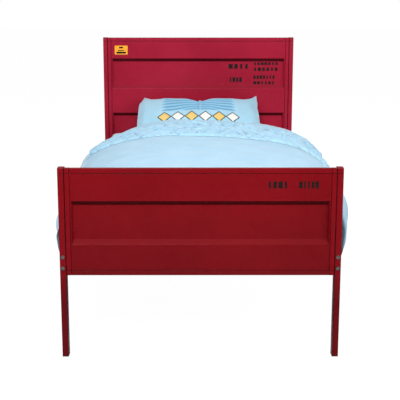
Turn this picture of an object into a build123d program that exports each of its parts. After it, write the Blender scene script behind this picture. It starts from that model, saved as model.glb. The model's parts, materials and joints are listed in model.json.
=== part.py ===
# Twin-size metal platform bed in the style of a freight container, made up with its bedding.
# Units are millimetres. X is across the bed, Y runs from the foot to the head and Z is up.
# The origin is on the floor, midway between the sides and midway between the two ends.

import os
from math import cos, hypot, pi, radians, sin

from build123d import *

os.makedirs("parts", exist_ok=True)

# Overall size of the bedstead
bed_width = 1092.0  # over the outer faces of the posts
bed_length = 2007.0  # from the front of the footboard to the back of the headboard
headboard_height = 1118.0
footboard_height = 762.0

# Upright posts, rectangular tube
post_width = 25.0
post_depth = 40.0
post_wall = 1.5
tube_corner = 2.5  # outside corner radius of every tube
cap_thickness = 2.0  # plate that closes a tube's end
stile_cap_inset = 0.8  # a stile's square cap stays this far inside the tube's rounded corners

# Panel frames, square tube set flush with the fronts of the posts
frame_tube = 20.0
frame_wall = 1.0
frame_bottom = 337.0  # underside of both bottom rails

# Pressed sheet panels
sheet_thickness = 1.0
panel_setback = 1.0  # the sheet's face behind the tubes' front faces
flange_depth = 12.0  # the sheet's edges, folded back against the tubes
fold_radius = 1.6
recess_height = 173.0
recess_depth = 16.0
recess_slope = 18.5  # height taken by each sloping long side
recess_end_slope = 6.0  # width taken by each steep end
recess_end_land = 5.0  # flat sheet left beside the stile
press_radius = 3.0  # radius of the pressed edges
# recess places, as shares of the height from the bottom rails' underside to the board's top
headboard_recess_drop = 0.1511  # from the board's top to the upper recess
headboard_recess_pitch = 0.4033
headboard_recess_count = 2
footboard_recess_drop = 0.3012

# Foot glides, plastic plugs in the posts
glide_flange = 4.0
glide_plug = 18.0
glide_clearance = 0.2

# Side rails, rectangular tube behind the posts
rail_width = 20.0
rail_height = 100.0
rail_wall = 1.2
rail_centre_height = 388.5
end_plate_thickness = 6.0  # tapped for the bed bolts
end_plate_margin = 2.0  # the end plate is this much larger than the rail all round

# Bed bolts through the posts into the end plates
bolt_diameter = 8.0
bolt_length = 50.0
bolt_spacing = 45.0
bolt_head_diameter = 14.0
bolt_head_height = 4.4
bolt_socket = 5.0  # across the flats
bolt_socket_depth = 2.6
bolt_hole_clearance = 0.25
thread_clearance = 0.05

# Slat ledges, steel angle along the lower inside edges of the rails
ledge_leg = 25.0
ledge_thickness = 2.5
ledge_end_gap = 20.0

# Slats, rectangular tube
slat_count = 13
slat_width = 50.0
slat_thickness = 20.0
slat_wall = 1.0
slat_end_gap = 2.0
first_slat_inset = 90.0  # from the rail's end to the middle of the outermost slat

# Mattress
mattress_side_gap = 28.5  # to each side rail
mattress_head_gap = 6.0  # to the headboard
mattress_foot_gap = 16.0  # to the footboard
mattress_edge_height = 208.0
mattress_crown = 30.0  # the top's rise from the edges to the middle
mattress_corner = 55.0
mattress_edge = 14.0  # bevel round the top
soft_gap = 0.3  # soft pieces stay this far from what they lie on

# Pillow, leaning on the headboard
pillow_width = 690.0
pillow_height = 420.0
pillow_puff = 68.0  # half of the thickness at the middle
pillow_rim = 8.0
pillow_tilt = 22.5
pillow_ear = 13.0  # how far each corner stands out past the top and bottom edges
pillow_pinch = 17.0  # the gathered band draws the top edge down at the middle
pillow_facets = 6  # straight steps in each curve across the pillow

# Comforter. It lies a little to the right, so some sizes differ from left to right.
comforter_top_rise = 149.0  # outer surface above the mattress's edge, along the middle
comforter_turn_rise_left = 111.0  # the same, where the top starts to fall away
comforter_turn_rise_right = 128.0
comforter_shoulder_rise_left = 36.0  # the same, over the mattress's edge
comforter_shoulder_rise_right = 95.0
comforter_turn_inset = 165.0  # the turn, in from the mattress's edge
comforter_shoulder_out = 10.0  # the shoulder, out from the mattress's edge
comforter_foot_bulge_left = 53.0  # widest point near the foot, out from the posts
comforter_foot_bulge_right = 75.0
comforter_head_bulge_left = 92.0  # the same, at the head edge
comforter_head_bulge_right = 110.0
comforter_foot_tuck = 36.0  # the sides draw in by this much at the foot edge
comforter_tuck_length = 250.0
comforter_hem_in = 22.0  # the hem, back in from the widest point
comforter_least = 12.0  # the hanging part is never thinner
comforter_bulge_height = 470.0
comforter_hem_height = 358.0
comforter_inner_drop = 62.0  # the lining meets its outward slope this far below the mattress's edge
comforter_side_gap = 4.0  # clear of the rails and their end plates
comforter_foot_gap = 4.0
comforter_head_gap = 4.0
comforter_fold_depth = 8.0
comforter_fold_pitch = 430.0
comforter_edge_round = 26.0
comforter_spans = 11

# Places worked out from the sizes above
front_face = -bed_length / 2
back_face = bed_length / 2
headboard_face = back_face - post_depth  # the side towards the mattress
footboard_inner = front_face + post_depth
post_x = (bed_width - post_width) / 2
stile_x = bed_width / 2 - post_width - frame_tube / 2
panel_width = 2 * (stile_x - frame_tube / 2)
rail_x = post_x
rail_inner_x = rail_x - rail_width / 2
rail_half_length = headboard_face - end_plate_thickness
bolt_heights = (rail_centre_height - bolt_spacing / 2, rail_centre_height + bolt_spacing / 2)
rail_bottom = rail_centre_height - rail_height / 2
rail_top = rail_centre_height + rail_height / 2
ledge_top = rail_bottom + ledge_thickness
slat_top = ledge_top + slat_thickness
mattress_bottom = slat_top + soft_gap
mattress_top = mattress_bottom + mattress_edge_height  # along the edges
mattress_head = headboard_face - mattress_head_gap
mattress_foot = footboard_inner + mattress_foot_gap
mattress_length = mattress_head - mattress_foot
mattress_width = 2 * (rail_inner_x - mattress_side_gap)


def save(piece, name):
    piece.part.label = name
    export_step(piece.part, f"parts/{name}.step")


def facing_foot(y):
    # A vertical plane across the bed at y: local x is X, local y is Z, and it faces the foot
    return Plane.XZ.offset(-y)


def tube_section(width, depth, wall):
    RectangleRounded(width, depth, tube_corner)
    Rectangle(width - 2 * wall, depth - 2 * wall, mode=Mode.SUBTRACT)


# Posts

def make_post(name, side, face_y, height):
    axis_y = face_y + post_depth / 2
    with BuildPart() as post:
        with BuildSketch(Plane((side * post_x, axis_y, glide_flange))):
            tube_section(post_width, post_depth, post_wall)
        extrude(amount=height - cap_thickness - glide_flange)
        with BuildSketch(facing_foot(axis_y)):
            with Locations(*[(side * post_x, z) for z in bolt_heights]):
                Circle(bolt_diameter / 2 + bolt_hole_clearance)
        extrude(amount=post_depth, both=True, mode=Mode.SUBTRACT)
    save(post, name)


def make_glides(name):
    plug_width = post_width - 2 * post_wall - 2 * glide_clearance
    plug_depth = post_depth - 2 * post_wall - 2 * glide_clearance
    places = [
        (side * post_x, face_y + post_depth / 2) for side in (-1, 1) for face_y in (front_face, headboard_face)
    ]
    with BuildPart() as glides:
        with BuildSketch():
            with Locations(*places):
                Rectangle(post_width, post_depth)
        extrude(amount=glide_flange)
        with BuildSketch(Plane.XY.offset(glide_flange)):
            with Locations(*places):
                Rectangle(plug_width, plug_depth)
        extrude(amount=glide_plug)
    save(glides, name)


# Frame round each panel: two stiles beside the posts, two rails between the stiles

def make_stile(name, side, face_y, height):
    with BuildPart() as stile:
        with BuildSketch(Plane((side * stile_x, face_y + frame_tube / 2, frame_bottom + cap_thickness))):
            tube_section(frame_tube, frame_tube, frame_wall)
        extrude(amount=height - frame_bottom - 2 * cap_thickness)
    save(stile, name)


def make_cross_tube(name, face_y, centre_height):
    with BuildPart() as cross_tube:
        with BuildSketch(Plane.YZ.offset(-panel_width / 2)):
            with Locations((face_y + frame_tube / 2, centre_height)):
                tube_section(frame_tube, frame_tube, frame_wall)
        extrude(amount=panel_width)
    save(cross_tube, name)


def make_tube_caps(name, face_y, height):
    # Welded plates: one on each post, and one on both ends of each stile
    post_y = face_y + post_depth / 2
    stile_y = face_y + frame_tube / 2
    with BuildPart() as caps:
        with BuildSketch(Plane.XY.offset(height - cap_thickness)):
            with Locations((-post_x, post_y), (post_x, post_y)):
                RectangleRounded(post_width, post_depth, tube_corner)
        extrude(amount=cap_thickness)
    with BuildPart() as stile_caps:
        for level in (frame_bottom, height - cap_thickness):
            with BuildSketch(Plane.XY.offset(level)):
                with Locations((-stile_x, stile_y), (stile_x, stile_y)):
                    Rectangle(frame_tube - 2 * stile_cap_inset, frame_tube - 2 * stile_cap_inset)
            extrude(amount=cap_thickness)
    save(caps, f"{name}_post_caps")
    save(stile_caps, f"{name}_stile_caps")


# Pressed panels. The recess is a pan with two long slopes and two steep ends, in sheet of even thickness.

def pan_outline(y, top, depth, grow_z, grow_x):
    # The pan's rectangle at a depth behind the sheet's face, widened for the sheet's thickness
    share = depth / recess_depth
    width = panel_width - 2 * recess_end_land - 2 * recess_end_slope * share + 2 * grow_x
    height = recess_height - 2 * recess_slope * share + 2 * grow_z
    with BuildSketch(facing_foot(y + depth)) as outline:
        with Locations((0, top - recess_height / 2)):
            Rectangle(width, height)
    return outline.sketch


def make_panel(name, face_y, height, recess_drops):
    low = frame_bottom + frame_tube
    high = height - frame_tube
    middle = (low + high) / 2
    recess_tops = [height - drop * (height - frame_bottom) for drop in recess_drops]
    sheet_y = face_y + panel_setback
    pan_back = recess_depth + sheet_thickness
    slant_z = sheet_thickness * hypot(recess_depth, recess_slope) / recess_depth
    slant_x = sheet_thickness * hypot(recess_depth, recess_end_slope) / recess_depth
    with BuildPart() as panel:
        with BuildSketch(facing_foot(sheet_y)):
            with Locations((0, middle)):
                Rectangle(panel_width, high - low)
        extrude(amount=-sheet_thickness)
        with BuildSketch(facing_foot(sheet_y)):
            with Locations((0, middle)):
                Rectangle(panel_width, high - low)
                Rectangle(
                    panel_width - 2 * sheet_thickness,
                    high - low - 2 * sheet_thickness,
                    mode=Mode.SUBTRACT,
                )
        extrude(amount=-flange_depth)
        for top in recess_tops:
            rim = pan_outline(sheet_y, top, 0, slant_z, slant_x)
            floor = pan_outline(sheet_y, top, pan_back, slant_z, slant_x)
            loft([rim, floor])
        for top in recess_tops:
            rim = pan_outline(sheet_y, top, 0, 0, 0)
            floor = pan_outline(sheet_y, top, recess_depth, 0, 0)
            loft([rim, floor], mode=Mode.SUBTRACT)
        # Round the pressed edge where each pan leaves the face, and the folds round the sheet
        face = panel.faces().filter_by(Axis.Y).sort_by(Axis.Y)[0]
        fillet([edge for wire in face.inner_wires() for edge in wire.edges()], press_radius)
        face = panel.faces().filter_by(Axis.Y).sort_by(Axis.Y)[0]
        fillet(face.outer_wire().edges(), fold_radius)
    save(panel, name)


# Side rails with their end plates and slat ledges

def make_side_rail(name, side):
    with BuildPart() as rail:
        with BuildSketch(facing_foot(rail_half_length)):
            with Locations((side * rail_x, rail_centre_height)):
                tube_section(rail_width, rail_height, rail_wall)
        extrude(amount=2 * rail_half_length)
    save(rail, name)


def make_end_plates(name, side):
    with BuildPart() as plates:
        for start in (footboard_inner, rail_half_length):
            with BuildSketch(facing_foot(start)):
                with Locations((side * rail_x, rail_centre_height)):
                    Rectangle(rail_width + 2 * end_plate_margin, rail_height + 2 * end_plate_margin)
                with Locations(*[(side * rail_x, z) for z in bolt_heights]):
                    Circle(bolt_diameter / 2 + thread_clearance, mode=Mode.SUBTRACT)
            extrude(amount=-end_plate_thickness)
    save(plates, name)


def make_ledge(name, side):
    half = rail_half_length - ledge_end_gap
    corner = (Align.MAX if side > 0 else Align.MIN, Align.MIN)
    with BuildPart() as ledge:
        with BuildSketch(facing_foot(-half)):
            with Locations((side * rail_inner_x, rail_bottom)):
                Rectangle(ledge_leg, ledge_thickness, align=corner)
                Rectangle(ledge_thickness, ledge_leg, align=corner)
        extrude(amount=-2 * half)
    save(ledge, name)


# Bolts, drawn along Y with their heads on the outside of the board

def make_bolts(name, outer_y, inward):
    # inward is +1 for the footboard's bolts and -1 for the headboard's
    places = [(side * post_x, z) for side in (-1, 1) for z in bolt_heights]
    with BuildPart() as bolts:
        with BuildSketch(facing_foot(outer_y)):
            with Locations(*places):
                Circle(bolt_head_diameter / 2)
        extrude(amount=inward * bolt_head_height)
        with BuildSketch(facing_foot(outer_y - inward * bolt_head_height)):
            with Locations(*places):
                RegularPolygon(bolt_socket / 2, 6, major_radius=False)
        extrude(amount=-inward * bolt_socket_depth, mode=Mode.SUBTRACT)
        with BuildSketch(facing_foot(outer_y)):
            with Locations(*places):
                Circle(bolt_diameter / 2)
        extrude(amount=-inward * bolt_length)
    save(bolts, f"{name}_bolts")


# Slats, lying on the ledges and welded to them

slat_half_length = rail_inner_x - ledge_thickness - slat_end_gap
slat_first = -(rail_half_length - first_slat_inset)
slat_pitch = -2 * slat_first / (slat_count - 1)
slat_places = [slat_first + slat_pitch * i for i in range(slat_count)]


def make_slat(name, y):
    with BuildPart() as slat:
        with BuildSketch(Plane.YZ.offset(-slat_half_length)):
            with Locations((y, ledge_top + slat_thickness / 2)):
                Rectangle(slat_width, slat_thickness)
                Rectangle(slat_width - 2 * slat_wall, slat_thickness - 2 * slat_wall, mode=Mode.SUBTRACT)
        extrude(amount=2 * slat_half_length)
    save(slat, name)


# Mattress: a crowned outline along the bed, cut by a bevelled one across it and by the plan's
# rounded corners

def crowned_outline(half_width, half_top):
    bevel = mattress_top - mattress_edge
    Polyline(
        (-half_top, mattress_top),
        (-half_width, bevel),
        (-half_width, mattress_bottom),
        (half_width, mattress_bottom),
        (half_width, bevel),
        (half_top, mattress_top),
    )
    ThreePointArc((-half_top, mattress_top), (0, mattress_top + mattress_crown), (half_top, mattress_top))


def make_mattress():
    middle_y = (mattress_foot + mattress_head) / 2
    half_width = mattress_width / 2
    peak = mattress_top + mattress_crown
    end_bevel = mattress_edge + mattress_crown
    with BuildPart() as mattress:
        with BuildSketch(facing_foot(middle_y)):
            with BuildLine():
                crowned_outline(half_width, half_width - mattress_edge)
            make_face()
        extrude(amount=mattress_length / 2, both=True)
        with BuildSketch(Plane.YZ):
            with BuildLine():
                Polyline(
                    (mattress_foot, mattress_bottom),
                    (mattress_foot, peak - end_bevel),
                    (mattress_foot + end_bevel, peak),
                    (mattress_head - end_bevel, peak),
                    (mattress_head, peak - end_bevel),
                    (mattress_head, mattress_bottom),
                    close=True,
                )
            make_face()
        extrude(amount=half_width, both=True, mode=Mode.INTERSECT)
        with BuildSketch(Plane.XY.offset(mattress_bottom)):
            with Locations((0, middle_y)):
                RectangleRounded(mattress_width, mattress_length, mattress_corner)
        extrude(amount=peak - mattress_bottom, mode=Mode.INTERSECT)
    save(mattress, "mattress")


# Pillow: lens-shaped sections from one side to the other, faceted finely. Its lowest line lies on
# the mattress and its far edge leans on the headboard.

tilt = radians(pillow_tilt)
pillow_half = pillow_height / 2
pillow_long = pillow_half + pillow_ear
pillow_reach = pillow_long * cos(tilt) + pillow_rim / 2 * sin(tilt)
# share of the half width, lower end, upper end, share of the full puff
pillow_stations = (
    (0, pillow_half, pillow_half - pillow_pinch, 1),
    (0.14, pillow_half, pillow_half - pillow_pinch * 0.25, 0.99),
    (0.4, pillow_half, pillow_half, 0.95),
    (0.68, pillow_half, pillow_half, 0.82),
    (0.88, pillow_long, pillow_long, 0.44),
    (1, pillow_half * 0.64, pillow_half * 0.7, 0.14),
)


def pillow_curve(low, high, puff):
    # The upper side of a section from its low edge to its high edge, in the section's own plane
    rim = pillow_rim / 2
    steps = [2 * i / pillow_facets - 1 for i in range(pillow_facets + 1)]
    rise = puff * pillow_puff - rim
    return [((high - low + (high + low) * u) / 2, rim + rise * (1 - u**2)) for u in steps]


pillow_drop = max(
    w * cos(tilt) - v * sin(tilt)
    for share, low, high, puff in pillow_stations
    for v, w in pillow_curve(low, high, puff)
)
pillow_centre_z = mattress_top + mattress_crown + soft_gap + pillow_drop
pillow_centre_y = headboard_face - soft_gap - pillow_reach
pillow_low_edge = pillow_centre_y - pillow_reach


def pillow_section(x, low, high, puff):
    upper = pillow_curve(low, high, puff)
    lower = [(v, -w) for v, w in reversed(upper)]
    plane = Plane((x, pillow_centre_y, pillow_centre_z), x_dir=(0, cos(tilt), sin(tilt)), z_dir=(1, 0, 0))
    with BuildSketch(plane) as section:
        with BuildLine():
            Polyline(*upper, *lower, close=True)
        make_face()
    return section.sketch


def make_pillow():
    half_width = pillow_width / 2
    right = [pillow_section(share * half_width, *ends) for share, *ends in pillow_stations]
    left = [pillow_section(-share * half_width, *ends) for share, *ends in pillow_stations[1:]]
    with BuildPart() as pillow:
        loft([*reversed(left), *right], ruled=True)
    save(pillow, "pillow")


# Comforter: a domed outer form lofted along the bed, hollowed to lie over the mattress and to
# hang outside the rails. Sizes that differ are looked up by side, left (-1) or right (1).

comforter_turn_rise = {-1: comforter_turn_rise_left, 1: comforter_turn_rise_right}
comforter_shoulder_rise = {-1: comforter_shoulder_rise_left, 1: comforter_shoulder_rise_right}
comforter_foot_bulge = {-1: comforter_foot_bulge_left, 1: comforter_foot_bulge_right}
comforter_head_bulge = {-1: comforter_head_bulge_left, 1: comforter_head_bulge_right}
comforter_head = pillow_low_edge - comforter_head_gap
comforter_foot = footboard_inner + comforter_foot_gap
side_inner = bed_width / 2 + comforter_side_gap
turn_x = mattress_width / 2 - comforter_turn_inset
shoulder_x = mattress_width / 2 + comforter_shoulder_out


def comforter_side(y, side, shrink):
    # The hem, widest point, shoulder and turn of one side. The hanging part swings in broad folds.
    along = (y - comforter_foot) / (comforter_head - comforter_foot)
    bulge = comforter_foot_bulge[side] * (1 - along) + comforter_head_bulge[side] * along
    tuck = comforter_foot_tuck * max(1 - (y - comforter_foot) / comforter_tuck_length, 0)
    swing = comforter_fold_depth * sin(2 * pi * y / comforter_fold_pitch + side)
    widest_x = max(bed_width / 2 + bulge - tuck + swing - shrink, side_inner + comforter_least)
    hem_x = max(widest_x - comforter_hem_in - swing / 2, side_inner + comforter_side_gap)
    hem = (side * hem_x, comforter_hem_height)
    widest = (side * widest_x, comforter_bulge_height + swing)
    shoulder = (side * (shoulder_x - shrink), mattress_top + comforter_shoulder_rise[side] - shrink)
    turn = (side * turn_x, mattress_top + comforter_turn_rise[side] - shrink)
    return hem, widest, shoulder, turn


def halfway(a, b, rise):
    return ((a[0] + b[0]) / 2, (a[1] + b[1]) / 2 + rise)


def comforter_section(y, shrink):
    hem_l, widest_l, shoulder_l, turn_l = comforter_side(y, -1, shrink)
    hem_r, widest_r, shoulder_r, turn_r = comforter_side(y, 1, shrink)
    with BuildSketch(facing_foot(y)) as section:
        with BuildLine():
            ThreePointArc(hem_l, widest_l, shoulder_l)
            ThreePointArc(shoulder_l, halfway(shoulder_l, turn_l, 7), turn_l)
            ThreePointArc(turn_l, (0, mattress_top + comforter_top_rise - shrink), turn_r)
            ThreePointArc(turn_r, halfway(turn_r, shoulder_r, 7), shoulder_r)
            ThreePointArc(shoulder_r, widest_r, hem_r)
            Line(hem_r, hem_l)
        make_face()
    return section.sketch


def make_comforter():
    inner_foot = comforter_foot + comforter_edge_round
    inner_head = comforter_head - comforter_edge_round
    sections = [comforter_section(comforter_foot, comforter_edge_round * 0.6)]
    for i in range(comforter_spans + 1):
        y = inner_foot + (inner_head - inner_foot) * i / comforter_spans
        sections.append(comforter_section(y, 0))
    sections.append(comforter_section(comforter_head, comforter_edge_round * 0.9))
    cavity_x = mattress_width / 2 + soft_gap
    cavity_top = mattress_top + soft_gap
    slope_end = mattress_top - comforter_inner_drop
    below_hem = comforter_hem_height - comforter_edge_round
    flap_back = mattress_foot - soft_gap
    with BuildPart() as comforter:
        loft(sections, ruled=True)
        # the hollow over the mattress, opening out to pass outside the rails and posts
        with BuildSketch(facing_foot(flap_back)):
            with BuildLine():
                Polyline(
                    (-cavity_x, cavity_top),
                    (-side_inner, slope_end),
                    (-side_inner, below_hem),
                    (side_inner, below_hem),
                    (side_inner, slope_end),
                    (cavity_x, cavity_top),
                )
                ThreePointArc((-cavity_x, cavity_top), (0, cavity_top + mattress_crown), (cavity_x, cavity_top))
            make_face()
        extrude(amount=-(comforter_head - flap_back + comforter_edge_round), mode=Mode.SUBTRACT)
        # the flap tucked in at the foot ends above the rails
        with BuildSketch(facing_foot(comforter_foot - comforter_edge_round)):
            with Locations((0, rail_top + end_plate_margin + comforter_side_gap)):
                Rectangle(2 * side_inner, mattress_edge_height, align=(Align.CENTER, Align.MAX))
        extrude(amount=-(flap_back - comforter_foot + 2 * comforter_edge_round), mode=Mode.SUBTRACT)
    save(comforter, "comforter")


# Headboard
make_panel(
    "headboard_panel",
    headboard_face,
    headboard_height,
    [headboard_recess_drop + headboard_recess_pitch * i for i in range(headboard_recess_count)],
)
make_cross_tube("headboard_top_rail", headboard_face, headboard_height - frame_tube / 2)
make_cross_tube("headboard_bottom_rail", headboard_face, frame_bottom + frame_tube / 2)
make_tube_caps("headboard", headboard_face, headboard_height)
make_bolts("headboard", back_face, -1)

# Footboard
make_panel("footboard_panel", front_face, footboard_height, [footboard_recess_drop])
make_cross_tube("footboard_top_rail", front_face, footboard_height - frame_tube / 2)
make_cross_tube("footboard_bottom_rail", front_face, frame_bottom + frame_tube / 2)
make_tube_caps("footboard", front_face, footboard_height)
make_bolts("footboard", front_face, 1)

# What there is one of on each side
for side_name, side in (("left", -1), ("right", 1)):
    make_post(f"headboard_post_{side_name}", side, headboard_face, headboard_height)
    make_post(f"footboard_post_{side_name}", side, front_face, footboard_height)
    make_stile(f"headboard_stile_{side_name}", side, headboard_face, headboard_height)
    make_stile(f"footboard_stile_{side_name}", side, front_face, footboard_height)
    make_side_rail(f"side_rail_{side_name}", side)
    make_end_plates(f"rail_end_plates_{side_name}", side)
    make_ledge(f"slat_ledge_{side_name}", side)

make_glides("leg_glides")

# Slat deck
for number, y in enumerate(slat_places, start=1):
    make_slat(f"slat_{number:02d}", y)

# Bedding
make_mattress()
make_pillow()
make_comforter()
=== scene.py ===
import json
import math
import random

import bmesh
import bpy
from mathutils import Matrix, Vector, noise
from mathutils.bvhtree import BVHTree


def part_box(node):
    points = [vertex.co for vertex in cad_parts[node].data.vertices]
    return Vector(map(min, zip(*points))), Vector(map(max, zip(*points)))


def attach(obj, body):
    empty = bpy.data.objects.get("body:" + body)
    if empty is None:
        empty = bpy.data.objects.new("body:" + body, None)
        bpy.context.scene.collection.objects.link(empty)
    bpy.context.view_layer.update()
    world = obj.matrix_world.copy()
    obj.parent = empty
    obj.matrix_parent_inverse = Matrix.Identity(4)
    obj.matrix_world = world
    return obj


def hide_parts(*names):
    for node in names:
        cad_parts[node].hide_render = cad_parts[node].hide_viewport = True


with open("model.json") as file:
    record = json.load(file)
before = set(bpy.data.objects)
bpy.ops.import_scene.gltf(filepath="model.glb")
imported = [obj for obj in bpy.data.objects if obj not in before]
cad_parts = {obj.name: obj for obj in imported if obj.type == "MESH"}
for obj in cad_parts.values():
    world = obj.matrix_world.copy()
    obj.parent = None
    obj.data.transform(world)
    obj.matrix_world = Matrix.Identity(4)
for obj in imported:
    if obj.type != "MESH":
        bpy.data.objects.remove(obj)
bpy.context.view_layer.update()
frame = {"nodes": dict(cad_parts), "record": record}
scene = bpy.context.scene
random.seed(7)


# Helpers for meshes

def toObject(bm, name):
    mesh = bpy.data.meshes.new(name)
    bm.to_mesh(mesh)
    bm.free()
    piece = bpy.data.objects.new(name, mesh)
    scene.collection.objects.link(piece)
    return piece


def roundFaces(piece, smooth=True):
    for face in piece.data.polygons:
        face.use_smooth = smooth


def bake(piece):
    # The modifiers' result becomes the mesh
    graph = bpy.context.evaluated_depsgraph_get()
    mesh = bpy.data.meshes.new_from_object(piece.evaluated_get(graph))
    piece.modifiers.clear()
    old = piece.data
    piece.data = mesh
    bpy.data.meshes.remove(old)


def finishPiece(piece, body, material):
    piece.data.materials.clear()
    piece.data.materials.append(material)
    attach(piece, body)


def subdivide(piece, levels):
    mod = piece.modifiers.new("smooth", "SUBSURF")
    mod.levels = levels
    mod.render_levels = levels
    bake(piece)


def inflate(piece, pressure, cap, frames=20, pinned=None, stiffness=15.0):
    # A short cloth run with air inside. No point ends further than cap from where it began.
    start = [v.co.copy() for v in piece.data.vertices]
    mod = piece.modifiers.new("cloth", "CLOTH")
    cloth = mod.settings
    cloth.quality = 5
    cloth.mass = 0.3
    cloth.tension_stiffness = stiffness
    cloth.compression_stiffness = stiffness
    cloth.shear_stiffness = stiffness * 0.4
    cloth.bending_stiffness = 0.4
    cloth.use_pressure = True
    cloth.uniform_pressure_force = pressure
    cloth.effector_weights.gravity = 0
    if pinned:
        cloth.vertex_group_mass = pinned
    mod.collision_settings.use_collision = False
    for number in range(1, frames + 1):
        scene.frame_set(number)
    graph = bpy.context.evaluated_depsgraph_get()
    result = piece.evaluated_get(graph).to_mesh()
    ends = [v.co.copy() for v in result.vertices]
    piece.evaluated_get(graph).to_mesh_clear()
    piece.modifiers.remove(mod)
    scene.frame_set(1)
    for v, a, b in zip(piece.data.vertices, start, ends):
        step = b - a
        if step.length > cap:
            step = step.normalized() * cap
        v.co = a + step
    piece.data.update()


def smoothStep(low, high, value):
    t = min(max((value - low) / (high - low), 0), 1)
    return t * t * (3 - 2 * t)


def alongCurve(points, t):
    # A smooth curve through the points, t from 0 to 1 by the runs' lengths
    runs = [(b - a).length for a, b in zip(points, points[1:])]
    reach = t * sum(runs)
    i = 0
    while i < len(runs) - 1 and reach > runs[i]:
        reach -= runs[i]
        i += 1
    s = reach / runs[i]
    p1, p2 = points[i], points[i + 1]
    p0 = points[i - 1] if i else p1 * 2 - p2
    p3 = points[i + 2] if i + 2 < len(points) else p2 * 2 - p1
    return 0.5 * (2 * p1 + (p2 - p0) * s + (2 * p0 - 5 * p1 + 4 * p2 - p3) * s * s
                  + (3 * p1 - p0 - 3 * p2 + p3) * s ** 3)


# Helpers for materials

def startMaterial(name, colour, roughness):
    material = bpy.data.materials.new(name)
    material.use_nodes = True
    shader = material.node_tree.nodes["Principled BSDF"]
    shader.inputs["Base Color"].default_value = (*colour, 1)
    shader.inputs["Roughness"].default_value = roughness
    return material, shader


def addNode(material, kind, inputs=None, **settings):
    node = material.node_tree.nodes.new(kind)
    for key, value in settings.items():
        setattr(node, key, value)
    for key, value in (inputs or {}).items():
        if isinstance(value, bpy.types.NodeSocket):
            material.node_tree.links.new(value, node.inputs[key])
        else:
            node.inputs[key].default_value = value
    return node


def joinTo(material, output, target):
    material.node_tree.links.new(output, target)


def objectCoordinates(material, scale=(1, 1, 1)):
    coordinates = addNode(material, "ShaderNodeTexCoord")
    mapping = addNode(material, "ShaderNodeMapping", {"Vector": coordinates.outputs["Object"], "Scale": scale})
    return mapping.outputs["Vector"]


def varyColour(material, shader, vector, dark, light, scale, low=0.35, high=0.65):
    grain = addNode(material, "ShaderNodeTexNoise", {"Vector": vector, "Scale": scale, "Detail": 4.0})
    ramp = addNode(material, "ShaderNodeMapRange", {
        "Value": grain.outputs["Fac"], "From Min": low, "From Max": high})
    mix = addNode(material, "ShaderNodeMix", {"Factor": ramp.outputs["Result"]}, data_type="RGBA")
    mix.inputs[6].default_value = (*dark, 1)
    mix.inputs[7].default_value = (*light, 1)
    joinTo(material, mix.outputs[2], shader.inputs["Base Color"])
    return mix


def calc(material, operation, a, b=0.0):
    return addNode(material, "ShaderNodeMath", {0: a, 1: b}, operation=operation).outputs[0]


def mixColour(material, factor, first, second):
    mix = addNode(material, "ShaderNodeMix", {"Factor": factor}, data_type="RGBA")
    for socket, colour in ((mix.inputs[6], first), (mix.inputs[7], second)):
        if isinstance(colour, bpy.types.NodeSocket):
            joinTo(material, colour, socket)
        else:
            socket.default_value = (*colour, 1)
    return mix.outputs[2]


def addBump(material, shader, height, strength, distance, normal=None):
    inputs = {"Height": height, "Strength": strength, "Distance": distance}
    if normal:
        inputs["Normal"] = normal
    bump = addNode(material, "ShaderNodeBump", inputs)
    joinTo(material, bump.outputs["Normal"], shader.inputs["Normal"])
    return bump.outputs["Normal"]


# Red powder coat on sheet and tube

redPaint = {
    "body": ((0.215, 0.0026, 0.0066), (0.262, 0.0040, 0.0095)),
    # painted light: the headboard's copy of the same paint is lighter and pinker, standing in for its brighter light
    # and reflected sheen
    "head": ((0.315, 0.0100, 0.0290), (0.365, 0.0140, 0.0370)),
    "roughness": (0.22, 0.32),
    "peel": 520.0,  # orange peel, cells per metre
    "peelDepth": 0.00006,
    # seamX and seamZ place painted shade: dark lines where shade falls in the joints between post, stile, rails and
    # sheet
    "seamX": ((0.521, 0.0026), (0.501, 0.0012)),  # joints between post, stile and sheet, and their half widths
    "seamZ": {"body": (0.742, 0.357), "head": (1.098, 0.357)},  # joints between rails and sheet
    "seamShadeColour": (0.022, 0.003, 0.004),
    "paintedShadeColour": (0.045, 0.003, 0.004),
    "slopeRough": 0.35,  # added to the roughness on faces and slopes that face up
    "fall": {"body": (0.26, 0.07), "head": (0.0, 0.0)},  # how much painted shade darkens a sheet at its foot and its top
}


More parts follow.
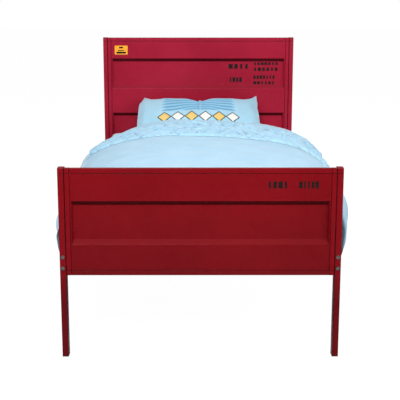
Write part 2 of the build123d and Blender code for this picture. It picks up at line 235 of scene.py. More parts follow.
def makeRedPaint(name, board):
    dark, light = redPaint[board]
    material, shader = startMaterial(name, light, 0.4)
    vector = objectCoordinates(material)
    mix = varyColour(material, shader, vector, dark, light, 3.0)
    parts = addNode(material, "ShaderNodeSeparateXYZ", {"Vector": vector})
    acrossBed = calc(material, "ABSOLUTE", parts.outputs["X"])
    seamShade = None
    lines = [(acrossBed, place, half) for place, half in redPaint["seamX"]]
    lines += [(parts.outputs["Z"], place, 0.0012) for place in redPaint["seamZ"][board]]
    for value, place, half in lines:
        near = addNode(material, "ShaderNodeMath", {0: value, 1: place, 2: half}, operation="COMPARE").outputs[0]
        seamShade = near if seamShade is None else calc(material, "MAXIMUM", seamShade, near)
    # Painted shade in the joints
    colour = mixColour(material, calc(material, "MULTIPLY", seamShade, 0.75), mix.outputs[2], redPaint["seamShadeColour"])
    # Painted shade: faces that look down, the lower slopes and other faces that look up, the side slopes of the pans,
    # the legs near the floor and the foot of the sheet are darkened where shade falls
    facing = addNode(material, "ShaderNodeNewGeometry")
    facingParts = addNode(material, "ShaderNodeSeparateXYZ", {"Vector": facing.outputs["True Normal"]})
    upward, sideways = facingParts.outputs["Z"], calc(material, "ABSOLUTE", facingParts.outputs["X"])
    # Painted shade on faces that look down
    under = addNode(material, "ShaderNodeMapRange", {"Value": upward, "From Min": -0.30, "From Max": -0.62})
    # Painted shade on faces that look up, the pans' lower slopes among them; the same mask also makes them rougher
    slope = addNode(material, "ShaderNodeMath", {0: upward, 1: 0.75, 2: 0.29}, operation="COMPARE").outputs[0]
    # Painted shade on the pans' side slopes
    sideSlope = addNode(material, "ShaderNodeMath", {0: sideways, 1: 0.62, 2: 0.25}, operation="COMPARE").outputs[0]
    # Painted shade: the legs darken towards the floor
    low = addNode(material, "ShaderNodeMapRange", {
        "Value": parts.outputs["Z"], "From Min": 0.22, "From Max": 0.38, "To Min": 0.54, "To Max": 0.0})
    paintedShade = calc(material, "MAXIMUM", calc(material, "MULTIPLY", slope, 0.28), low.outputs["Result"])
    paintedShade = calc(material, "MAXIMUM", paintedShade, calc(material, "MULTIPLY", sideSlope, 0.45))
    # Painted shade: the footboard's sheet darkens towards its foot
    fall = addNode(material, "ShaderNodeMapRange", {
        "Value": parts.outputs["Z"], "From Min": 0.40, "From Max": 0.74, "To Min": redPaint["fall"][board][0],
        "To Max": redPaint["fall"][board][1]})
    onSheet = calc(material, "MULTIPLY", calc(material, "LESS_THAN", acrossBed, 0.500),
                   calc(material, "LESS_THAN", calc(material, "ABSOLUTE", upward), 0.40))
    paintedShade = calc(material, "ADD", paintedShade, calc(material, "MULTIPLY", fall.outputs["Result"], onSheet))
    colour = mixColour(material, paintedShade, colour, redPaint["paintedShadeColour"])
    colour = mixColour(material, calc(material, "MULTIPLY", under.outputs["Result"], 0.85), colour,
                       redPaint["paintedShadeColour"])
    joinTo(material, colour, shader.inputs["Base Color"])
    cloudy = addNode(material, "ShaderNodeTexNoise", {"Vector": vector, "Scale": 14.0, "Detail": 3.0})
    rough = addNode(material, "ShaderNodeMapRange", {
        "Value": cloudy.outputs["Fac"], "To Min": redPaint["roughness"][0], "To Max": redPaint["roughness"][1]})
    slopeRough = calc(material, "MULTIPLY", slope, redPaint["slopeRough"])
    joinTo(material, calc(material, "ADD", rough.outputs["Result"], slopeRough), shader.inputs["Roughness"])
    shader.inputs["Specular IOR Level"].default_value = 0.07
    shader.inputs["Coat Weight"].default_value = 0.04
    shader.inputs["Coat Roughness"].default_value = 0.15
    edge = addNode(material, "ShaderNodeBevel", {"Radius": 0.0014}, samples=4)
    peel = addNode(material, "ShaderNodeTexNoise", {"Vector": vector, "Scale": redPaint["peel"], "Detail": 1.0})
    addBump(material, shader, peel.outputs["Fac"], 0.35, redPaint["peelDepth"], edge.outputs["Normal"])
    return material


# Plated steel bolts, black plastic glides

def makeBoltSteel():
    material, shader = startMaterial("boltSteel", (0.16, 0.165, 0.155), 0.38)
    shader.inputs["Metallic"].default_value = 1.0
    vector = objectCoordinates(material)
    varyColour(material, shader, vector, (0.10, 0.105, 0.095), (0.24, 0.245, 0.235), 190.0)
    scratches = addNode(material, "ShaderNodeTexNoise", {"Vector": vector, "Scale": 900.0, "Detail": 2.0})
    addBump(material, shader, scratches.outputs["Fac"], 0.3, 0.00005)
    return material


def makeBlackPlastic():
    material, shader = startMaterial("blackPlastic", (0.012, 0.012, 0.013), 0.55)
    vector = objectCoordinates(material)
    varyColour(material, shader, vector, (0.008, 0.008, 0.009), (0.022, 0.021, 0.021), 60.0)
    grain = addNode(material, "ShaderNodeTexNoise", {"Vector": vector, "Scale": 1400.0, "Detail": 1.0})
    addBump(material, shader, grain.outputs["Fac"], 0.4, 0.00008)
    return material


# Woven cottons. The weave is a crossing of two fine waves.

def makeCotton(name, dark, light, thread=900.0, roughness=0.85, sheen=0.35, weaveDepth=0.00012, soft=9.0):
    material, shader = startMaterial(name, light, roughness)
    vector = objectCoordinates(material)
    mix = varyColour(material, shader, vector, dark, light, soft, 0.3, 0.7)
    waves = []
    for direction in ("X", "Y"):
        wave = addNode(material, "ShaderNodeTexWave", {
            "Vector": vector, "Scale": thread / 6.0, "Distortion": 0.6, "Detail": 1.0, "Detail Scale": 2.0},
            wave_type="BANDS", bands_direction=direction)
        waves.append(wave.outputs["Fac"])
    weave = addNode(material, "ShaderNodeMath", {0: waves[0], 1: waves[1]}, operation="MULTIPLY")
    slub = addNode(material, "ShaderNodeTexNoise", {"Vector": vector, "Scale": 160.0, "Detail": 4.0})
    height = addNode(material, "ShaderNodeMath", {0: weave.outputs[0], 1: slub.outputs["Fac"]}, operation="ADD")
    addBump(material, shader, height.outputs[0], 0.45, weaveDepth)
    shader.inputs["Sheen Weight"].default_value = sheen
    shader.inputs["Sheen Roughness"].default_value = 0.45
    shader.inputs["Specular IOR Level"].default_value = 0.25
    return material, shader, mix


boardRed = makeRedPaint("boardRed", "body")
headRedLitCopy = makeRedPaint("headRedLitCopy", "head")
boltSteel = makeBoltSteel()
blackPlastic = makeBlackPlastic()
comforterCotton, comforterShader, comforterMix = makeCotton(
    "comforterCotton", (0.338, 0.582, 0.760), (0.400, 0.646, 0.816))
pillowCotton, pillowShader, pillowMix = makeCotton(
    "pillowCotton", (0.335, 0.600, 0.760), (0.395, 0.660, 0.810))
ruffleCotton, ruffleShader, ruffleMix = makeCotton(
    "ruffleCotton", (0.350, 0.594, 0.768), (0.414, 0.660, 0.824))
# Painted shade: the ruffles' hollows darken towards deep blue by the fold attribute
ruffleFoldShade = addNode(ruffleCotton, "ShaderNodeAttribute", attribute_name="foldShade")
joinTo(ruffleCotton, mixColour(ruffleCotton, ruffleFoldShade.outputs["Fac"], (0.090, 0.270, 0.450), ruffleMix.outputs[2]),
       ruffleShader.inputs["Base Color"])
mattressKnit, mattressShader, mattressMix = makeCotton(
    "mattressKnit", (0.66, 0.65, 0.62), (0.76, 0.75, 0.73), thread=500.0, weaveDepth=0.0003)

slotMaterials = {
    "red_paint": boardRed,
    "bolt_steel": boltSteel,
    "black_plastic": blackPlastic,
}
nodeSlots = {}
for entry in frame["record"]["materials"]:
    for nodeName in entry.get("nodes", []):
        nodeSlots[nodeName] = entry["slot"]
for nodeName, piece in frame["nodes"].items():
    slotName = nodeSlots.get(nodeName)
    if slotName is None and "bolts" in nodeName:
        slotName = "bolt_steel"
    if slotName is None and "glides" in nodeName:
        slotName = "black_plastic"
    material = slotMaterials.get(slotName, boardRed)
    # The headboard gets the lighter copy of the paint, with painted light in its colour
    if material is boardRed and nodeName.startswith("headboard"):
        material = headRedLitCopy
    if piece.data.materials:
        for i in range(len(piece.data.materials)):
            piece.data.materials[i] = material
    else:
        piece.data.materials.append(material)
print("metal dressed", sorted(set(nodeSlots.values())))


# Mattress: knit cover over springs, with a cord sewn round its top and bottom edges

mattress = {
    "cornerSteps": 8,
    "rim": 0.022,  # roundness of the top and bottom edges
    "crown": 0.028,
    "clear": 0.001,
    "cord": 0.0042,  # half of the cord's thickness
}


def makeMattress():
    low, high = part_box("mattress")
    edgeTop = high.z - 0.030
    size = (high.x - low.x - 0.004, high.y - low.y - 0.004, edgeTop - low.z - mattress["clear"])
    middle = Vector(((low.x + high.x) / 2, (low.y + high.y) / 2, (edgeTop + low.z + mattress["clear"]) / 2))
    bm = bmesh.new()
    bmesh.ops.create_cube(bm, size=1)
    bmesh.ops.scale(bm, verts=bm.verts, vec=size)
    upright = [e for e in bm.edges if abs(e.verts[0].co.z - e.verts[1].co.z) > 0.01]
    bmesh.ops.bevel(bm, geom=upright, offset=0.055, segments=mattress["cornerSteps"], affect="EDGES",
                    profile=0.5, material=-1)
    caps = [f for f in bm.faces if abs(f.normal.z) > 0.9]
    rims = list({e for f in caps for e in f.edges})
    bmesh.ops.bevel(bm, geom=rims, offset=mattress["rim"], segments=4, affect="EDGES", profile=0.5, material=-1)
    # cut across so that the top can rise
    for axis, reach, count in ((Vector((1, 0, 0)), size[0], 18), (Vector((0, 1, 0)), size[1], 34)):
        for i in range(1, count):
            place = axis * (i / count - 0.5) * reach * 0.94
            bmesh.ops.bisect_plane(bm, geom=bm.verts[:] + bm.edges[:] + bm.faces[:], plane_co=place, plane_no=axis)
    bmesh.ops.translate(bm, verts=bm.verts, vec=middle)
    for v in bm.verts:
        u = (v.co.x - middle.x) / (size[0] / 2)
        w = (v.co.y - middle.y) / (size[1] / 2)
        top = smoothStep(middle.z, edgeTop, v.co.z)
        v.co.z += top * mattress["crown"] * max(1 - abs(u) ** 2.6, 0) * max(1 - abs(w) ** 6, 0)
    bmesh.ops.recalc_face_normals(bm, faces=bm.faces)
    piece = toObject(bm, "mattressCover")
    roundFaces(piece)
    finishPiece(piece, "mattress", mattressKnit)
    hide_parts("mattress")
    # The cords: rounded rectangles swept by a thin round
    cords = []
    for name, level in (("mattressCordTop", edgeTop - 0.006), ("mattressCordBottom", low.z + 0.010)):
        ring = bmesh.new()
        bmesh.ops.create_grid(ring, x_segments=1, y_segments=1, size=0.5)
        bmesh.ops.scale(ring, verts=ring.verts, vec=(size[0] - 2 * mattress["cord"] + 0.002,
                                                    size[1] - 2 * mattress["cord"] + 0.002, 1))
        bmesh.ops.bevel(ring, geom=ring.verts[:], offset=0.052, segments=8, affect="VERTICES", profile=0.5,
                        material=-1)
        bmesh.ops.delete(ring, geom=ring.faces[:], context="FACES_ONLY")
        bmesh.ops.translate(ring, verts=ring.verts, vec=(middle.x, middle.y, level))
        cord = toObject(ring, name)
        skin = cord.modifiers.new("skin", "SKIN")
        skin.use_smooth_shade = True
        for point in cord.data.skin_vertices[0].data if cord.data.skin_vertices else []:
            point.radius = (mattress["cord"], mattress["cord"])
        cords.append(cord)
    return piece, cords


mattressCover, mattressCords = makeMattress()
for cord in mattressCords:
    if cord.data.skin_vertices:
        bake(cord)
        subdivide(cord, 1)
        roundFaces(cord)
        finishPiece(cord, "mattress", mattressKnit)
    else:
        bpy.data.objects.remove(cord)
print("mattress made")


# Comforter: a filled quilt that hangs over both sides

quilt = {
    "columns": 132,
    "rows": 76,
    "right": [(0.0, 0.704), (0.17, 0.701), (0.333, 0.688), (0.435, 0.674), (0.506, 0.658), (0.584, 0.620),
              (0.634, 0.564), (0.650, 0.500), (0.640, 0.430), (0.602, 0.360)],
    "left": [(0.0, 0.704), (0.17, 0.697), (0.327, 0.674), (0.43, 0.643), (0.511, 0.606), (0.580, 0.555),
             (0.624, 0.498), (0.635, 0.462), (0.622, 0.415), (0.585, 0.360)],
    "footNarrow": 0.030,  # how much nearer the sides hang at the foot
    "footTuck": 0.034,  # and again over the last quarter metre
    "rollLength": 0.045,  # depth of the rounded head and foot edges
    "hemRoll": 0.10,  # share of the half width in the rounded hem
    "pressure": 3.0,
    "cap": 0.012,
    "creaseDepth": 0.0055,
}


def quiltOuter(u, along):
    side = quilt["right"] if u >= 0 else quilt["left"]
    sign = 1 if u >= 0 else -1
    points = [Vector((sign * x, z)) for x, z in side]
    p = alongCurve(points, abs(u))
    hang = smoothStep(0.35, 0.9, abs(u))
    tuck = quilt["footTuck"] * (1 - smoothStep(0.0, 0.20, along))
    p.x -= sign * (quilt["footNarrow"] * (1 - along) + tuck) * hang
    p.y += 0.030 * (1 - smoothStep(0.0, 0.24, along)) * smoothStep(0.86, 1.0, abs(u))
    p.y += 0.013 * smoothStep(0.84, 0.94, along) * (1 - smoothStep(0.4, 0.7, abs(u)))
    return p


def quiltInner(u, top, half, bedSide):
    # Over the mattress, then out past the rails and down
    sign = 1 if u >= 0 else -1
    points = [Vector((0, top + 0.032)), Vector((sign * half * 0.5, top + 0.025)), Vector((sign * half, top + 0.003)),
              Vector((sign * bedSide, top - 0.065)), Vector((sign * bedSide, top - 0.13)),
              Vector((sign * bedSide, 0.360))]
    return alongCurve(points, abs(u))


def makeQuilt():
    low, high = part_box("comforter")
    matLow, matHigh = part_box("mattress")
    edgeTop = matHigh.z - 0.030
    half = (matHigh.x - matLow.x) / 2
    bedSide = 0.5535
    foot, head = low.y + 0.006, high.y - 0.004

    def shell(name, outside):
        bm = bmesh.new()
        bmesh.ops.create_grid(bm, x_segments=quilt["columns"], y_segments=quilt["rows"], size=1)
        bm.verts.ensure_lookup_table()
        for v in bm.verts:
            u, w = v.co.x, v.co.y
            along = (w + 1) / 2
            y = foot + (head - foot) * along
            outer = quiltOuter(u, along)
            inner = quiltInner(u, edgeTop, half, bedSide)
            fromEnd = min(along, 1 - along) * (head - foot)
            endTurn = max(1 - fromEnd / quilt["rollLength"], 0)
            hemTurn = max(1 - (1 - abs(u)) / quilt["hemRoll"], 0)
            turn = max(endTurn, hemTurn)
            share = 0.5 * (1 - math.sqrt(max(1 - turn * turn, 0)))
            p = outer.lerp(inner, share) if outside else inner.lerp(outer, share)
            v.co = Vector((p.x, y, p.y))
        if not outside:
            bmesh.ops.reverse_faces(bm, faces=bm.faces)
        return bm

    outside = shell("outside", True)
    inside = shell("inside", False)
    bm = outside
    count = len(bm.verts)
    scratch = bpy.data.meshes.new("scratch")
    inside.to_mesh(scratch)
    inside.free()
    bm.from_mesh(scratch)
    bpy.data.meshes.remove(scratch)
    bm.verts.ensure_lookup_table()
    layer = bm.verts.layers.int.new("inside")
    for v in bm.verts[count:]:
        v[layer] = 1
    bmesh.ops.remove_doubles(bm, verts=bm.verts, dist=0.0002)
    bmesh.ops.recalc_face_normals(bm, faces=bm.faces)
    bm.verts.ensure_lookup_table()
    pinnedOnes = [v.index for v in bm.verts if v[layer] == 1 or v.is_boundary]
    piece = toObject(bm, "comforterQuilt")
    pins = piece.vertex_groups.new(name="pins")
    pins.add(pinnedOnes, 1.0, "REPLACE")
    # Long soft creases across the top that turn down at the sides
    for v in piece.data.vertices:
        if piece.data.attributes["inside"].data[v.index].value:
            continue
        x, y, z = v.co
        outward = Vector((x * 0.9, 0, max(z - 0.45, 0.02))).normalized()
        sway = noise.noise(Vector((x * 2.2, y * 1.3, 3.1))) * 1.6
        wave = math.sin((y * 5.2 + sway + abs(x) * 1.4) * 2 * math.pi * 0.9)
        fine = noise.noise(Vector((x * 3.5, y * 9.0, 1.7)))
        hang = smoothStep(0.30, 0.62, abs(x))
        depth = quilt["creaseDepth"] * (0.45 + 0.9 * hang)
        fade = smoothStep(0.0, 0.10, y - foot) * smoothStep(0.0, 0.05, head - y)
        v.co += outward * depth * (0.6 * wave + 1.1 * fine) * fade
    inflate(piece, quilt["pressure"], quilt["cap"], frames=16, pinned="pins")
    piece.vertex_groups.clear()
    subdivide(piece, 1)
    roundFaces(piece)
    finishPiece(piece, "mattress", comforterCotton)
    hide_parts("comforter")
    return piece


quiltPiece = makeQuilt()
print("comforter made", len(quiltPiece.data.vertices))


# Ruffled band sewn across the comforter near its head edge

ruffles = {
    "columns": 330,
    "rows": 96,
    "headY": 0.385,
    "headSag": 0.065,  # the head edge comes nearer the foot at the sides
    "footY": -0.020,
    "slant": -0.21,  # the foot edge comes nearer the foot towards the right
    "sides": (0.70, 0.86),  # share of each half width that the band crosses
    "depth": 0.014,
    "rosette": 0.088,
}


def rosetteCentres():
    centres = []
    step = ruffles["rosette"]
    for i in range(-9, 10):
        for j in range(-3, 9):
            centres.append(Vector((
                (i + 0.5 * (j % 2)) * step + random.uniform(-0.18, 0.18) * step,
                j * step * 0.86 + random.uniform(-0.18, 0.18) * step - 0.20,
                random.uniform(0, 6.28))))
    return centres


def makeRuffles():
    surface = BVHTree.FromObject(quiltPiece, bpy.context.evaluated_depsgraph_get())
    centres = rosetteCentres()
    foldShades = []
    bm = bmesh.new()
    bmesh.ops.create_grid(bm, x_segments=ruffles["columns"], y_segments=ruffles["rows"], size=1)
    for v in bm.verts:
        u, w = v.co.x, (v.co.y + 1) / 2
        reach = ruffles["sides"][0 if u < 0 else 1]
        across = u * reach  # rough distance from the middle along the cloth
        p = quiltOuter(u * reach, 0.9)
        footY = ruffles["footY"] + ruffles["slant"] * across * 0.9
        headY = ruffles["headY"] - ruffles["headSag"] * smoothStep(0.15, 0.62, abs(across))
        y = footY + (headY - footY) * w
        place = Vector((p.x, y, p.y))
        spot, normal, index, distance = surface.find_nearest(place)
        if normal.z < 0 and abs(place.x) < 0.5:
            normal = -normal
        best, bestAway = None, 9.0
        for c in centres:
            away = (c.x - across) ** 2 + (c.y - y) ** 2
            if away < bestAway:
                best, bestAway = c, away
        r = math.sqrt(bestAway) / (ruffles["rosette"] * 0.62)
        warp = noise.noise(Vector((across * 17, y * 17, best.z)))
        angle = math.atan2(y - best.y, across - best.x) + best.z
        petal = math.sin(angle * 2 + r * 6.0 + warp * 3.0)
        swirl = (0.5 + 0.5 * petal) ** 0.8 * (0.5 + 0.5 * min(r, 1)) + 0.3 * max(0.45 - r, 0)
        gather = noise.noise(Vector((across * 26, y * 15, 5.0)))
        edge = smoothStep(0, 0.035, w) * smoothStep(0, 0.10, 1 - w) * smoothStep(0, 0.07, 1 - abs(u))
        height = 0.0015 + edge * (0.002 + ruffles["depth"] * (0.72 * swirl + 0.35 * gather + 0.12))
        # Painted shade in the ruffles' hollows, kept in the fold attribute
        hollowShade = smoothStep(0.55, 0.95, 1 - swirl) * smoothStep(-0.10, 0.30, noise.noise(
            Vector((across * 9, y * 9, 11))) - gather * 0.4)
        foldShades.append(1 - 0.55 * hollowShade * edge)
        v.co = spot + normal * height
        v.co.x += edge * 0.004 * noise.noise(Vector((across * 30, y * 30, 8.0)))
        v.co.y += edge * 0.004 * noise.noise(Vector((across * 30, y * 30, 2.0)))
    bmesh.ops.recalc_face_normals(bm, faces=bm.faces)
    piece = toObject(bm, "comforterRuffles")
    piece.data.attributes.new("foldShade", "FLOAT", "POINT").data.foreach_set("value", foldShades)
    roundFaces(piece)
    finishPiece(piece, "mattress", ruffleCotton)
    return piece


rufflePiece = makeRuffles()
print("ruffles made")


# Pillow, leaning on the headboard

pillow = {
    "halfWidth": 0.357,
    "halfHeight": 0.205,
    "puff": 0.055,
    "tilt": 20.5,
    "columns": 46,
    "rows": 28,
    "voxel": 0.006,
    "pressure": 4.0,
    "cap": 0.012,
    "bandHalf": 0.205,  # the pleated band's half length
    "bandLow": -0.045,  # across the pillow, from its middle
    "bandHigh": 0.195,
    "pleats": 7,
    "pleatDepth": 0.0045,
}


def makePillow():
    low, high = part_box("pillow")
    tilt = math.radians(pillow["tilt"])
    w, h = pillow["halfWidth"], pillow["halfHeight"]
    bm = bmesh.new()
    bmesh.ops.create_grid(bm, x_segments=pillow["columns"], y_segments=pillow["rows"], size=1)
    under = bmesh.ops.duplicate(bm, geom=bm.verts[:] + bm.edges[:] + bm.faces[:])["geom"]
    underVerts = {g for g in under if isinstance(g, bmesh.types.BMVert)}
    bmesh.ops.reverse_faces(bm, faces=[g for g in under if isinstance(g, bmesh.types.BMFace)])
    for v in bm.verts:
        a, b = v.co.x, v.co.y
        if a < 0:
            narrow = 1 - 0.085 * smoothStep(0.55, 1.0, b)
        else:
            narrow = 1 - 0.045 * smoothStep(-0.1, 1.0, b)
        narrow -= 0.05 * smoothStep(0.3, 1.0, -b) + 0.012 * (1 - b * b)
        x = a * w * narrow
        ear = (0.080 if a < 0 else 0.150) * abs(a) ** 13
        dip = 0.140 * math.exp(-(a / 0.13) ** 2) * smoothStep(0.2, 1, b)
        y = b * h * (1 + ear - 0.155 * (1 - abs(a) ** 6) * smoothStep(0, 1, b) - dip)
        thick = pillow["puff"] * max(1 - abs(a) ** 2.4, 0) ** 0.62 * max(1 - abs(b) ** 2.2, 0) ** 0.62 + 0.002
        v.co = Vector((x, y, -thick if v in underVerts else thick))
    bmesh.ops.remove_doubles(bm, verts=bm.verts, dist=0.0002)
    rims = [e for e in bm.edges if e.is_boundary]
    bmesh.ops.bridge_loops(bm, edges=rims)
    bmesh.ops.recalc_face_normals(bm, faces=bm.faces)
    piece = toObject(bm, "pillowCase")
    remesh = piece.modifiers.new("remesh", "REMESH")
    remesh.mode = "VOXEL"
    remesh.voxel_size = pillow["voxel"]
    bake(piece)
    inflate(piece, pillow["pressure"], pillow["cap"], frames=20)
    subdivide(piece, 1)
    # The pleats run along the pillow and gather at its middle
    foldShades = [1.0] * len(piece.data.vertices)
    bands = [0.0] * len(piece.data.vertices)
    for v in piece.data.vertices:
        x, y, z = v.co
        outer = smoothStep(0.235, 0.315, abs(x))
        v.co.x += outer * smoothStep(0.06, 0.19, y) * (0.004 if x < 0 else 0.010)
        v.co.y += outer * smoothStep(0.120, 0.200, y) * (0.010 if x < 0 else 0.020)
        if z <= 0:
            continue
        inBand = smoothStep(-0.004, 0.004, pillow["bandHalf"] - abs(x)) * smoothStep(
            -0.004, 0.004, y - pillow["bandLow"])
        spread = 0.62 + 0.38 * smoothStep(0.0, 0.16, abs(x - 0.008))
        centre = (pillow["bandLow"] + pillow["bandHigh"]) / 2
        phase = (y - centre) / spread / (pillow["bandHigh"] - pillow["bandLow"]) * pillow["pleats"]
        phase += 0.25 * noise.noise(Vector((x * 9, y * 4, 2)))
        ridge = (0.5 + 0.5 * math.sin(phase * 2 * math.pi)) ** 1.6
        gather = math.exp(-((x - 0.008) / 0.007) ** 2) * smoothStep(0.186, 0.160, y)
        fade = smoothStep(0, 0.045, pillow["bandHalf"] + 0.012 - abs(x))
        # Painted shade in the pleats' valleys, kept in the fold attribute
        foldShades[v.index] = 1 - inBand * fade * (1 - smoothStep(0.10, 0.75, ridge)) * (1 - gather)
        bands[v.index] = inBand * fade * 0.8
        v.co.z += inBand * (pillow["pleatDepth"] * (ridge - 0.5) * (1 - gather) + 0.0025 * gather)
        v.co.z -= inBand * 0.010 * math.exp(-((x - 0.008) / 0.045) ** 2) * (1 - gather)
        v.co.z += 0.0018 * noise.noise(Vector((x * 14, y * 14, 6)))
    piece.data.attributes.new("foldShade", "FLOAT", "POINT").data.foreach_set("value", foldShades)
    piece.data.attributes.new("band", "FLOAT", "POINT").data.foreach_set("value", bands)
    layer = piece.data.uv_layers.new(name="clothPlace")
    for loop in piece.data.loops:
        co = piece.data.vertices[loop.vertex_index].co
        layer.data[loop.index].uv = (co.x, co.y if co.z > 0 else -1.0)
    turn = Matrix.Rotation(tilt, 4, "X")
    piece.data.transform(turn)
    ys = [v.co.y for v in piece.data.vertices]
    zs = [v.co.z for v in piece.data.vertices]
    piece.data.transform(Matrix.Translation(Vector((0, high.y - 0.001 - max(ys), low.z + 0.001 - min(zs)))))
    roundFaces(piece)
    finishPiece(piece, "pillow", pillowCotton)
    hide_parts("pillow")
    return piece


pillowPrint = {
    "half": 0.225,
    "low": -0.150,
    "high": -0.056,
    "pitch": 0.075,
    "yellow": (0.80, 0.56, 0.17),
    "white": (0.82, 0.82, 0.78),
    "line": (0.035, 0.035, 0.035),
}


def dyeAndShadePillow():
    # Darker pleated band with painted shade in its pleats' valleys, and under it a printed row of plain lozenges
    place = addNode(pillowCotton, "ShaderNodeUVMap", uv_map="clothPlace")
    parts = addNode(pillowCotton, "ShaderNodeSeparateXYZ", {"Vector": place.outputs["UV"]})
    x, y = parts.outputs["X"], parts.outputs["Y"]
    bandAttribute = addNode(pillowCotton, "ShaderNodeAttribute", attribute_name="band")
    foldShadeAttribute = addNode(pillowCotton, "ShaderNodeAttribute", attribute_name="foldShade")
    colour = mixColour(pillowCotton, bandAttribute.outputs["Fac"], pillowMix.outputs[2], (0.255, 0.530, 0.715))
    colour = mixColour(pillowCotton, foldShadeAttribute.outputs["Fac"], (0.120, 0.330, 0.520), colour)
    middle = (pillowPrint["low"] + pillowPrint["high"]) / 2
    tall = (pillowPrint["high"] - pillowPrint["low"]) / 2
    cells = calc(pillowCotton, "DIVIDE", x, pillowPrint["pitch"])
    acrossCell = calc(pillowCotton, "ABSOLUTE", calc(pillowCotton, "SUBTRACT", calc(pillowCotton, "FRACT", cells), 0.5))
    upCell = calc(pillowCotton, "ABSOLUTE", calc(pillowCotton, "DIVIDE", calc(pillowCotton, "SUBTRACT", y, middle), tall))
    reach = calc(pillowCotton, "ADD", calc(pillowCotton, "MULTIPLY", acrossCell, 1.9), upCell)
    inRow = calc(pillowCotton, "LESS_THAN", calc(pillowCotton, "ABSOLUTE", x), pillowPrint["half"])
    drawn = calc(pillowCotton, "MULTIPLY", calc(pillowCotton, "LESS_THAN", reach, 1.0), inRow)
    filled = calc(pillowCotton, "MULTIPLY", calc(pillowCotton, "LESS_THAN", reach, 0.80), inRow)
    odd = calc(pillowCotton, "GREATER_THAN", calc(pillowCotton, "FRACT", calc(pillowCotton, "DIVIDE", x,
               pillowPrint["pitch"] * 2)), 0.5)
    fill = mixColour(pillowCotton, odd, pillowPrint["white"], pillowPrint["yellow"])
    colour = mixColour(pillowCotton, drawn, colour, pillowPrint["line"])
    colour = mixColour(pillowCotton, filled, colour, fill)
    joinTo(pillowCotton, colour, pillowShader.inputs["Base Color"])


dyeAndShadePillow()
pillowCase = makePillow()
print("pillow made", len(pillowCase.data.vertices))


# Marks on the boards: rows of plain black blocks, and a yellow plate with a plain sign

marks = {
    "thickness": 0.0004,
    "footRows": [(0.254, 0.336, 0.684, 0.711, 4), (0.375, 0.453, 0.684, 0.711, 5)],
    "headRows": [(0.172, 0.294, 0.939, 0.966, 4), (0.317, 0.4625, 0.960, 0.9765, 7),
                 (0.317, 0.4625, 0.926, 0.946, 6), (0.178, 0.254, 0.862, 0.889, 4),
                 (0.317, 0.445, 0.880, 0.900, 7), (0.317, 0.445, 0.849, 0.866, 6)],
    "plate": (-0.4804, -0.406, 1.0225, 1.0735),
}
footSheetY = -1.0025
headSheetY = 0.9645
headPanY = headSheetY + 0.016


def makeBlockRow(name, y, row):
    # One row of short painted blocks
    left, right, low, high, count = row
    bm = bmesh.new()
    pitch = (right - left) / count
    for i in range(count):
        width = pitch * random.choice((0.42, 0.62, 0.78))
        tall = high - low
        block = bmesh.ops.create_cube(bm, size=1)["verts"]
        bmesh.ops.scale(bm, verts=block, vec=(width, marks["thickness"], tall))
        bmesh.ops.translate(bm, verts=block, vec=(left + pitch * (i + 0.5), y - marks["thickness"] / 2, (low + high) / 2))
    piece = toObject(bm, name)
    finishPiece(piece, "frame", stencilBlack)
    return piece


def makePlate():
    # A plain enamelled plate with three bars
    left, right, low, high = marks["plate"]
    middle = Vector(((left + right) / 2, headSheetY - 0.0006, (low + high) / 2))
    bm = bmesh.new()
    bmesh.ops.create_cube(bm, size=1)
    bmesh.ops.scale(bm, verts=bm.verts, vec=(right - left, 0.0012, high - low))
    corners = [e for e in bm.edges if abs(e.verts[0].co.y - e.verts[1].co.y) > 0.001]
    bmesh.ops.bevel(bm, geom=corners, offset=0.004, segments=4, affect="EDGES", profile=0.5, material=-1)
    bmesh.ops.translate(bm, verts=bm.verts, vec=middle)
    plate = toObject(bm, "headPlate")
    finishPiece(plate, "frame", plateYellow)
    bm = bmesh.new()
    wide = right - left
    bars = [(0, 0.014, wide * 0.30, 0.009), (0, -0.002, wide * 0.50, 0.005), (0, -0.015, wide * 0.74, 0.010)]
    for x, z, w, h in bars:
        block = bmesh.ops.create_cube(bm, size=1)["verts"]
        bmesh.ops.scale(bm, verts=block, vec=(w, 0.0005, h))
        bmesh.ops.translate(bm, verts=block, vec=middle + Vector((x, -0.0008, z)))
    sign = toObject(bm, "headPlateMarks")
    finishPiece(sign, "frame", stencilBlack)


plateYellow, plateShader = startMaterial("plateYellow", (0.90, 0.34, 0.010), 0.4)
plateVector = objectCoordinates(plateYellow)
varyColour(plateYellow, plateShader, plateVector, (0.88, 0.35, 0.010), (0.97, 0.43, 0.018), 60.0)
stencilBlack, stencilShader = startMaterial("stencilBlack", (0.006, 0.005, 0.005), 0.6)
stencilShader.inputs["Specular IOR Level"].default_value = 0.1
stencilVector = objectCoordinates(stencilBlack)
varyColour(stencilBlack, stencilShader, stencilVector, (0.004, 0.003, 0.003), (0.02, 0.012, 0.012), 220.0)
for i, row in enumerate(marks["footRows"]):
    makeBlockRow(f"footMark{i + 1}", footSheetY, row)
for i, row in enumerate(marks["headRows"]):
    makeBlockRow(f"headMark{i + 1}", headPanY, row)
makePlate()
print("marks made")


# Floor, light and camera

stageSizes = {"floor": 40.0, "cameraShare": 0.88, "cameraGlow": 1.09}


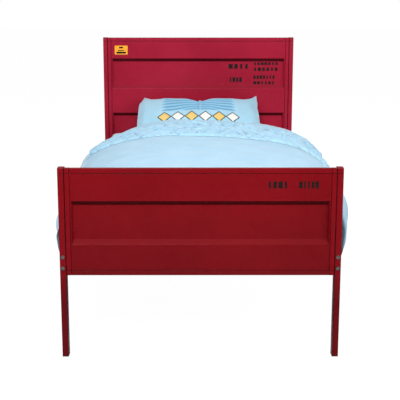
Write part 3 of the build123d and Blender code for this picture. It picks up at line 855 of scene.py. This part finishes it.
def makeStage():
    bm = bmesh.new()
    bmesh.ops.create_grid(bm, x_segments=1, y_segments=1, size=stageSizes["floor"] / 2)
    floor = toObject(bm, "floor")
    material = bpy.data.materials.new("floorWhite")
    material.use_nodes = True
    tree = material.node_tree
    tree.nodes.clear()
    path = addNode(material, "ShaderNodeLightPath")
    pale = mixColour(material, path.outputs["Is Camera Ray"], (0.55, 0.55, 0.55), (0.95, 0.95, 0.95))
    diffuse = addNode(material, "ShaderNodeBsdfDiffuse", {"Color": pale})
    glow = addNode(material, "ShaderNodeEmission", {"Color": (1, 1, 1, 1), "Strength": stageSizes["cameraGlow"]})
    share = addNode(material, "ShaderNodeMath", {0: path.outputs["Is Camera Ray"], 1: stageSizes["cameraShare"]},
                    operation="MULTIPLY")
    mix = addNode(material, "ShaderNodeMixShader", {0: share.outputs[0], 1: diffuse.outputs[0], 2: glow.outputs[0]})
    output = addNode(material, "ShaderNodeOutputMaterial")
    joinTo(material, mix.outputs[0], output.inputs["Surface"])
    floor.data.materials.append(material)

    world = bpy.data.worlds.new("studio")
    scene.world = world
    world.use_nodes = True
    world.node_tree.nodes.clear()
    wallGlow = addNode(world, "ShaderNodeBackground", {"Color": (1, 1, 1, 1), "Strength": 1.0})
    fill = addNode(world, "ShaderNodeBackground", {"Color": (0.96, 0.98, 1, 1), "Strength": 0.27})
    path = addNode(world, "ShaderNodeLightPath")
    seen = addNode(world, "ShaderNodeMath", {0: path.outputs["Is Camera Ray"], 1: path.outputs["Is Glossy Ray"]},
                   operation="MAXIMUM")
    seen2 = addNode(world, "ShaderNodeMath", {0: seen.outputs[0], 1: path.outputs["Is Transmission Ray"]},
                    operation="MAXIMUM")
    mix = addNode(world, "ShaderNodeMixShader", {0: seen2.outputs[0], 1: fill.outputs[0], 2: wallGlow.outputs[0]})
    output = addNode(world, "ShaderNodeOutputWorld")
    joinTo(world, mix.outputs[0], output.inputs["Surface"])


def addLamp(name, place, target, size, power, mirrored=True):
    lamp = bpy.data.lights.new(name, "AREA")
    lamp.shape = "SQUARE"
    lamp.size = size
    lamp.energy = power
    holder = bpy.data.objects.new(name, lamp)
    holder.visible_camera = False
    holder.visible_glossy = mirrored
    holder.location = place
    holder.rotation_euler = (Vector(target) - Vector(place)).to_track_quat("-Z", "Y").to_euler()
    scene.collection.objects.link(holder)


makeStage()
addLamp("keyLamp", (-0.6, -3.6, 3.3), (0, -0.6, 0.7), 1.7, 112)
addLamp("sideLamp", (4.0, -3.2, 2.4), (0, 0, 0.5), 2.4, 96)
addLamp("bedLamp", (0.1, -0.7, 3.0), (0, 0.95, 0.9), 1.6, 27)
addLamp("leftLamp", (-4.2, -0.2, 1.3), (0, 0.2, 0.5), 2.0, 36, mirrored=False)
addLamp("backLamp", (0.9, 4.4, 1.0), (0, 1.0, 0.6), 1.6, 80, mirrored=False)

view = {"place": (-0.0244, -4.5632, 1.5016), "pitch": 12.19, "turn": -0.07, "lens": 86.15,
        "shiftX": 0.0119, "shiftY": -0.06}
cameraData = bpy.data.cameras.new("camera")
cameraData.lens = view["lens"]
cameraData.sensor_width = 36
cameraData.shift_x = view["shiftX"]
cameraData.shift_y = view["shiftY"]
cameraData.clip_end = 100
camera = bpy.data.objects.new("camera", cameraData)
camera.location = view["place"]
camera.rotation_euler = (math.radians(90 - view["pitch"]), 0, math.radians(view["turn"]))
scene.collection.objects.link(camera)
scene.camera = camera
scene.view_settings.view_transform = "Standard"
